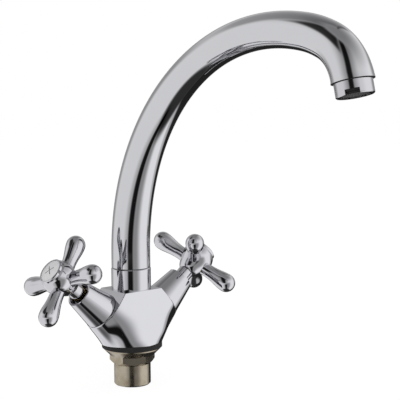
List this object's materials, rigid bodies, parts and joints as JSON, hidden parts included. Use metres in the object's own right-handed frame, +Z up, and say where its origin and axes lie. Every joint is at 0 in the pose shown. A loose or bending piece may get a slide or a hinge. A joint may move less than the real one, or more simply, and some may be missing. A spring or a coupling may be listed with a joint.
{
  "type": "kitchen faucet",
  "caption": "Deck mounted kitchen faucet with a swivelling swan neck spout, a cross handle on each rising arm, ceramic disc valves and an aerator.",
  "frame": {"origin": "on the body's axis in the deck plane, at the underside of the base gasket", "axes": "+Z up out of the deck, -Y along the spout at rest, -X to the hot handle and +X to the cold handle"},
  "size_m": [0.1717, 0.2789, 0.2764],
  "materials": {
    "body_chrome": "mirror polished plating",
    "collar_chrome": "mirror polished plating",
    "spout_chrome": "mirror polished plating",
    "sleeve_chrome": "mirror polished plating",
    "handle_chrome": "mirror polished plating",
    "aerator_chrome": "mirror polished plating",
    "button_plastic": "light grey metallic gloss",
    "nickel_brass": "turned, dull nickel tone",
    "bare_brass": "machined",
    "black_rubber": "matte",
    "white_plastic": "matte",
    "grey_plastic": "matte dark grey",
    "ceramic": "lapped white ceramic",
    "screen_steel": "stainless",
    "screw_steel": "zinc plated",
    "spring_steel": "bright spring steel"
  },
  "bodies": {
    "fixed": {"mixer_body": "body_chrome", "base_gasket": "black_rubber", "mounting_shank": "nickel_brass", "shank_o_ring": "black_rubber", "spout_collar": "collar_chrome", "collar_bearing_ring": "white_plastic", "hot_bonnet_sleeve": "sleeve_chrome", "hot_headwork": "bare_brass", "hot_headwork_o_ring": "black_rubber", "hot_seat_seal": "black_rubber", "hot_fixed_disc": "ceramic", "cold_bonnet_sleeve": "sleeve_chrome", "cold_headwork": "bare_brass", "cold_headwork_o_ring": "black_rubber", "cold_seat_seal": "black_rubber", "cold_fixed_disc": "ceramic"},
    "spout": {"spout_tube": "spout_chrome", "spout_nipple": "bare_brass", "spout_o_rings": "black_rubber", "spout_retaining_ring": "grey_plastic", "spout_glide_ring": "grey_plastic", "aerator_housing": "aerator_chrome", "aerator_insert": "white_plastic", "aerator_screen": "screen_steel", "aerator_washer": "black_rubber"},
    "hot_handle": {"hot_handle": "handle_chrome", "hot_index_button": "button_plastic", "hot_handle_screw": "screw_steel", "hot_spindle": "bare_brass", "hot_rotating_disc": "ceramic", "hot_spindle_o_rings": "black_rubber", "hot_spindle_circlip": "spring_steel", "hot_friction_washer": "white_plastic"},
    "cold_handle": {"cold_handle": "handle_chrome", "cold_index_button": "button_plastic", "cold_handle_screw": "screw_steel", "cold_spindle": "bare_brass", "cold_rotating_disc": "ceramic", "cold_spindle_o_rings": "black_rubber", "cold_spindle_circlip": "spring_steel", "cold_friction_washer": "white_plastic"}
  },
  "joints": [
    {"name": "spout_swivel", "type": "hinge", "parent": "fixed", "child": "spout", "pos_m": [0, 0, 0.061], "axis": [0, 0, 1], "continuous": true},
    {"name": "hot_handle_turn", "type": "hinge", "parent": "fixed", "child": "hot_handle", "pos_m": [-0.04321, 0, 0.04306], "axis": [-0.7716, 0, 0.6361], "range_deg": [0, 90]},
    {"name": "cold_handle_turn", "type": "hinge", "parent": "fixed", "child": "cold_handle", "pos_m": [0.04321, 0, 0.04306], "axis": [0.7716, 0, 0.6361], "range_deg": [-90, 0]}
  ]
}
